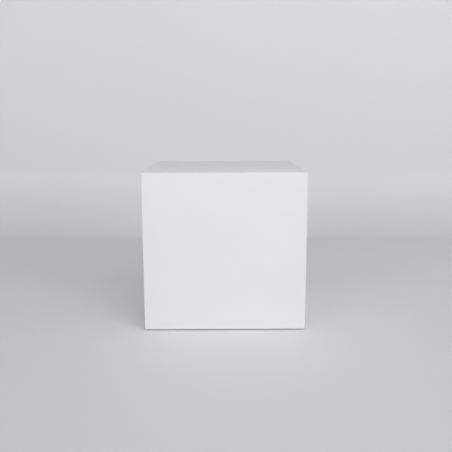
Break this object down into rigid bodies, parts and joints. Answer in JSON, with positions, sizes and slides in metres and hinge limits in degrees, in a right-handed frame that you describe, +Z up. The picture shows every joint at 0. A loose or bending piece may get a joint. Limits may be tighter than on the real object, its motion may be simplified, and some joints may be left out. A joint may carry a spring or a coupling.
{
  "type": "display plinth",
  "caption": "Plain white cube display plinth of mitred boards over inner battens, with a recessed base panel and screw-adjusted levelling feet.",
  "frame": {"origin": "on the floor under the middle of the plinth, with the feet screwed fully in", "axes": "+Z up out of the display surface; the front panel faces -Y, and +X is to the right as the front is looked at"},
  "size_m": [0.45, 0.45, 0.443],
  "materials": {
    "painted_mdf": "matte",
    "raw_mdf": "matte",
    "pine": "matte",
    "beech": "matte",
    "zinc_steel": "satin",
    "nylon_black": "matte",
    "anti_slip": "matte"
  },
  "bodies": {
    "plinth": {"top_panel": "painted_mdf", "front_panel": "painted_mdf", "right_panel": "painted_mdf", "back_panel": "painted_mdf", "left_panel": "painted_mdf", "base_panel": "raw_mdf", "front_top_rail": "pine", "front_bearer": "pine", "right_top_rail": "pine", "right_bearer": "pine", "back_top_rail": "pine", "back_bearer": "pine", "left_top_rail": "pine", "left_bearer": "pine", "front_right_post": "pine", "back_right_post": "pine", "back_left_post": "pine", "front_left_post": "pine", "front_top_biscuit_1": "beech", "front_top_biscuit_2": "beech", "right_top_biscuit_1": "beech", "right_top_biscuit_2": "beech", "back_top_biscuit_1": "beech", "back_top_biscuit_2": "beech", "left_top_biscuit_1": "beech", "left_top_biscuit_2": "beech", "front_right_corner_biscuit_1": "beech", "front_right_corner_biscuit_2": "beech", "back_right_corner_biscuit_1": "beech", "back_right_corner_biscuit_2": "beech", "back_left_corner_biscuit_1": "beech", "back_left_corner_biscuit_2": "beech", "front_left_corner_biscuit_1": "beech", "front_left_corner_biscuit_2": "beech", "front_base_screw_1": "zinc_steel", "front_base_screw_2": "zinc_steel", "right_base_screw_1": "zinc_steel", "right_base_screw_2": "zinc_steel", "back_base_screw_1": "zinc_steel", "back_base_screw_2": "zinc_steel", "left_base_screw_1": "zinc_steel", "left_base_screw_2": "zinc_steel", "front_right_tee_nut": "zinc_steel", "back_right_tee_nut": "zinc_steel", "back_left_tee_nut": "zinc_steel", "front_left_tee_nut": "zinc_steel"},
    "front_right_foot": {"front_right_pad": "nylon_black", "front_right_anti_slip_disc": "anti_slip"},
    "front_right_spindle": {"front_right_stem": "zinc_steel"},
    "back_right_foot": {"back_right_pad": "nylon_black", "back_right_anti_slip_disc": "anti_slip"},
    "back_right_spindle": {"back_right_stem": "zinc_steel"},
    "back_left_foot": {"back_left_pad": "nylon_black", "back_left_anti_slip_disc": "anti_slip"},
    "back_left_spindle": {"back_left_stem": "zinc_steel"},
    "front_left_foot": {"front_left_pad": "nylon_black", "front_left_anti_slip_disc": "anti_slip"},
    "front_left_spindle": {"front_left_stem": "zinc_steel"}
  },
  "joints": [
    {"name": "front_right_foot_extend", "type": "slide", "parent": "plinth", "child": "front_right_foot", "axis": [0, 0, -1], "range_m": [0, 0.01]},
    {"name": "front_right_foot_turn", "type": "hinge", "parent": "front_right_foot", "child": "front_right_spindle", "pos_m": [0.165, -0.165, 0.0125], "axis": [0, 0, -1], "range_deg": [0, 2880]},
    {"name": "back_right_foot_extend", "type": "slide", "parent": "plinth", "child": "back_right_foot", "axis": [0, 0, -1], "range_m": [0, 0.01]},
    {"name": "back_right_foot_turn", "type": "hinge", "parent": "back_right_foot", "child": "back_right_spindle", "pos_m": [0.165, 0.165, 0.0125], "axis": [0, 0, -1], "range_deg": [0, 2880]},
    {"name": "back_left_foot_extend", "type": "slide", "parent": "plinth", "child": "back_left_foot", "axis": [0, 0, -1], "range_m": [0, 0.01]},
    {"name": "back_left_foot_turn", "type": "hinge", "parent": "back_left_foot", "child": "back_left_spindle", "pos_m": [-0.165, 0.165, 0.0125], "axis": [0, 0, -1], "range_deg": [0, 2880]},
    {"name": "front_left_foot_extend", "type": "slide", "parent": "plinth", "child": "front_left_foot", "axis": [0, 0, -1], "range_m": [0, 0.01]},
    {"name": "front_left_foot_turn", "type": "hinge", "parent": "front_left_foot", "child": "front_left_spindle", "pos_m": [-0.165, -0.165, 0.0125], "axis": [0, 0, -1], "range_deg": [0, 2880]}
  ],
  "couplings": [
    {"joint": "front_right_foot_turn", "follows": "front_right_foot_extend", "rad_per_m": 5026.5},
    {"joint": "back_right_foot_turn", "follows": "back_right_foot_extend", "rad_per_m": 5026.5},
    {"joint": "back_left_foot_turn", "follows": "back_left_foot_extend", "rad_per_m": 5026.5},
    {"joint": "front_left_foot_turn", "follows": "front_left_foot_extend", "rad_per_m": 5026.5}
  ]
}
